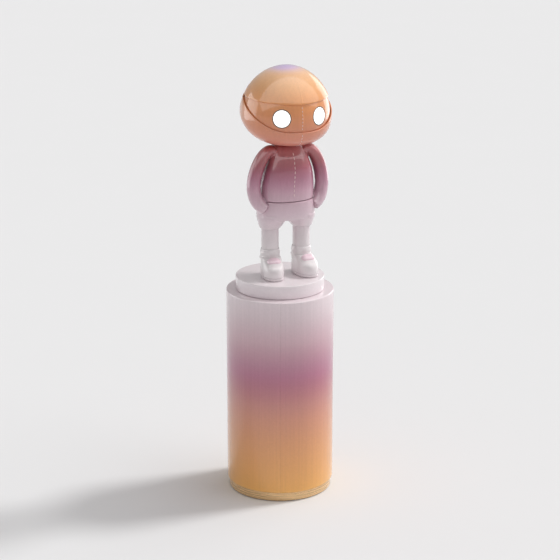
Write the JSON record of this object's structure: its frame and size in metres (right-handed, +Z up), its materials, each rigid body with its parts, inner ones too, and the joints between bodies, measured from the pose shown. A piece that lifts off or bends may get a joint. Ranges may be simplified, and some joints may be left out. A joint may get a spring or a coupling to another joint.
{
  "type": "vinyl art toy on pedestal",
  "caption": "Big-headed vinyl figure with lit round eyes and hands in its pockets, on a display disc that lifts off a tall round pedestal; the head turns and its cap lifts off.",
  "frame": {"origin": "centre of the pedestal's footprint, on the surface it stands on", "axes": "+Z up; the figure faces -Y and its right side is at -X"},
  "size_m": [0.13, 0.13, 0.524],
  "materials": {
    "ombre_lacquer": "sprayed colour fade, orange through salmon and plum to pearl white, under clear gloss lacquer",
    "pearl_lacquer": "pearl white lacquer, clear gloss coat",
    "champagne_trim": "satin champagne paint",
    "lit_diffuser": "opal diffuser, lit from behind",
    "white_plastic": "moulded, satin",
    "grey_plastic": "moulded, fine texture",
    "black_plastic": "moulded, satin",
    "black_rubber": "soft rubber",
    "zinc_steel": "zinc plated",
    "ballast_iron": "black painted casting",
    "circuit_board": "white solder mask",
    "cell_jacket": "plain shrink jacket",
    "red_wire": "PVC insulation"
  },
  "bodies": {
    "pedestal": {"pedestal_column": "ombre_lacquer", "foot_ring": "champagne_trim", "anti_slip_ring": "black_rubber", "base_plate": "grey_plastic", "base_screw_1": "zinc_steel", "base_screw_2": "zinc_steel", "base_screw_3": "zinc_steel", "base_screw_4": "zinc_steel", "ballast_disc": "ballast_iron", "ballast_bolt": "zinc_steel", "ballast_nut": "zinc_steel"},
    "figure": {"display_disc": "pearl_lacquer", "sole_right": "pearl_lacquer", "sole_left": "pearl_lacquer", "shoe_right": "pearl_lacquer", "shoe_left": "pearl_lacquer", "sock_cuff_right": "pearl_lacquer", "sock_cuff_left": "pearl_lacquer", "leg_right": "pearl_lacquer", "leg_left": "pearl_lacquer", "leg_screw_right": "zinc_steel", "leg_screw_left": "zinc_steel", "hip_nut_right": "zinc_steel", "hip_nut_left": "zinc_steel", "hip_plate": "grey_plastic", "shorts": "pearl_lacquer", "torso": "ombre_lacquer", "arm_right": "ombre_lacquer", "arm_left": "ombre_lacquer", "neck_post": "grey_plastic", "neck_clip": "zinc_steel", "neck_collar": "ombre_lacquer", "friction_washer": "black_rubber"},
    "head": {"head_core": "ombre_lacquer", "head_cowl": "ombre_lacquer", "neck_bush": "grey_plastic", "eye_lens_right": "lit_diffuser", "eye_lens_left": "lit_diffuser", "eye_cup_right": "white_plastic", "eye_cup_left": "white_plastic", "led_board_right": "circuit_board", "led_board_left": "circuit_board", "battery_tray": "grey_plastic", "battery_holder": "black_plastic", "battery_1": "cell_jacket", "battery_2": "cell_jacket", "switch_body": "zinc_steel", "eye_lead_right": "red_wire", "eye_lead_left": "red_wire", "switch_lead": "red_wire"},
    "cap": {"head_cap": "ombre_lacquer"},
    "switch": {"switch_knob": "black_plastic"}
  },
  "joints": [
    {"name": "figure_lift", "type": "slide", "parent": "pedestal", "child": "figure", "axis": [0, 0, 1], "range_m": [0, 0.08]},
    {"name": "head_turn", "type": "hinge", "parent": "figure", "child": "head", "pos_m": [0.0073, -0.003, 0.4342], "axis": [0, 0, 1], "continuous": true},
    {"name": "cap_lift", "type": "slide", "parent": "head", "child": "cap", "axis": [0, -0.2079, 0.9781], "range_m": [0, 0.06]},
    {"name": "switch_slide", "type": "slide", "parent": "head", "child": "switch", "axis": [1, 0, 0], "range_m": [0, 0.002]}
  ]
}
